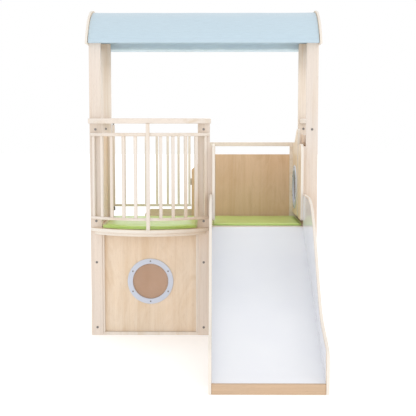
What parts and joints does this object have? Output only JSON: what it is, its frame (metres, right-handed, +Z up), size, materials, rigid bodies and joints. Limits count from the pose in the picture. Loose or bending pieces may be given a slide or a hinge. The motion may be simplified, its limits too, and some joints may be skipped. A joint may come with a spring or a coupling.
{
  "type": "toddler slide",
  "caption": "Toddler play loft with a slide, bow-fronted balcony, porthole den, fabric roof and a small rear gate over steps.",
  "frame": {"origin": "middle of the footprint on the floor", "axes": "+Z up, the slide runs out towards -Y, +X is to the right seen from the slide's end"},
  "size_m": [1.262, 1.927, 1.7969],
  "materials": {
    "birch_solid": "clear matt lacquer on solid birch",
    "birch_ply": "clear matt lacquer on birch plywood",
    "white_laminate": "smooth white laminate",
    "roof_fabric": "pale blue plain-weave canvas",
    "mat_cover": "lime green coated cover over foam",
    "ring_plastic": "moulded blue-grey plastic",
    "clear_pane": "clear acrylic",
    "bolt_steel": "zinc-plated steel"
  },
  "bodies": {
    "loft": {"balcony_apron": "birch_ply", "balcony_strut": "birch_solid", "balustrade_bottom_rail": "birch_solid", "balustrade_slats": "birch_solid", "balustrade_top_rail": "birch_solid", "canopy": "roof_fabric", "cross_bearers": "birch_ply", "den_front_panel": "birch_ply", "den_opening_frame": "birch_ply", "den_porthole_pane": "clear_pane", "den_porthole_rings": "ring_plastic", "den_rear_panel": "birch_ply", "floor_left": "birch_ply", "floor_right": "birch_ply", "frame_bolts": "bolt_steel", "gate_hinge_brackets": "birch_ply", "gate_latch_post": "birch_solid", "gate_stop_plate": "birch_ply", "gate_threshold": "birch_ply", "guard_left": "birch_ply", "guard_right": "birch_ply", "handrail": "birch_solid", "mat_bow": "mat_cover", "mat_left": "mat_cover", "mat_right": "mat_cover", "porthole_screws": "bolt_steel", "post_front_left": "birch_solid", "post_front_middle": "birch_solid", "post_front_right": "birch_solid", "post_rear_left": "birch_solid", "post_rear_middle": "birch_solid", "post_rear_right": "birch_solid", "rear_frame": "birch_solid", "rear_panel": "birch_ply", "roof_gable_left": "birch_ply", "roof_gable_right": "birch_ply", "roof_rails": "birch_solid", "side_bearers": "birch_ply", "side_panel_left": "birch_ply", "side_panel_right": "birch_ply", "side_rails": "birch_solid", "slide_base_board": "birch_ply", "slide_battens": "birch_solid", "slide_bed": "white_laminate", "slide_end_board": "birch_solid", "slide_hook_board": "birch_ply", "slide_liners": "white_laminate", "slide_side_left": "birch_ply", "slide_side_right": "birch_ply", "spacer_blocks": "birch_ply", "step_stringers": "birch_ply", "step_treads": "birch_ply", "wing_panel": "birch_ply", "wing_porthole_pane": "clear_pane", "wing_porthole_rings": "ring_plastic"},
    "gate": {"gate_hinge_stile": "birch_solid", "gate_rails": "birch_solid", "gate_bars": "birch_solid", "gate_hinge_pins": "bolt_steel"}
  },
  "joints": [
    {"name": "gate_swing", "type": "hinge", "parent": "loft", "child": "gate", "pos_m": [-0.544, 0.6475, 0.9], "axis": [0, 0, -1], "range_deg": [0, 90]}
  ]
}
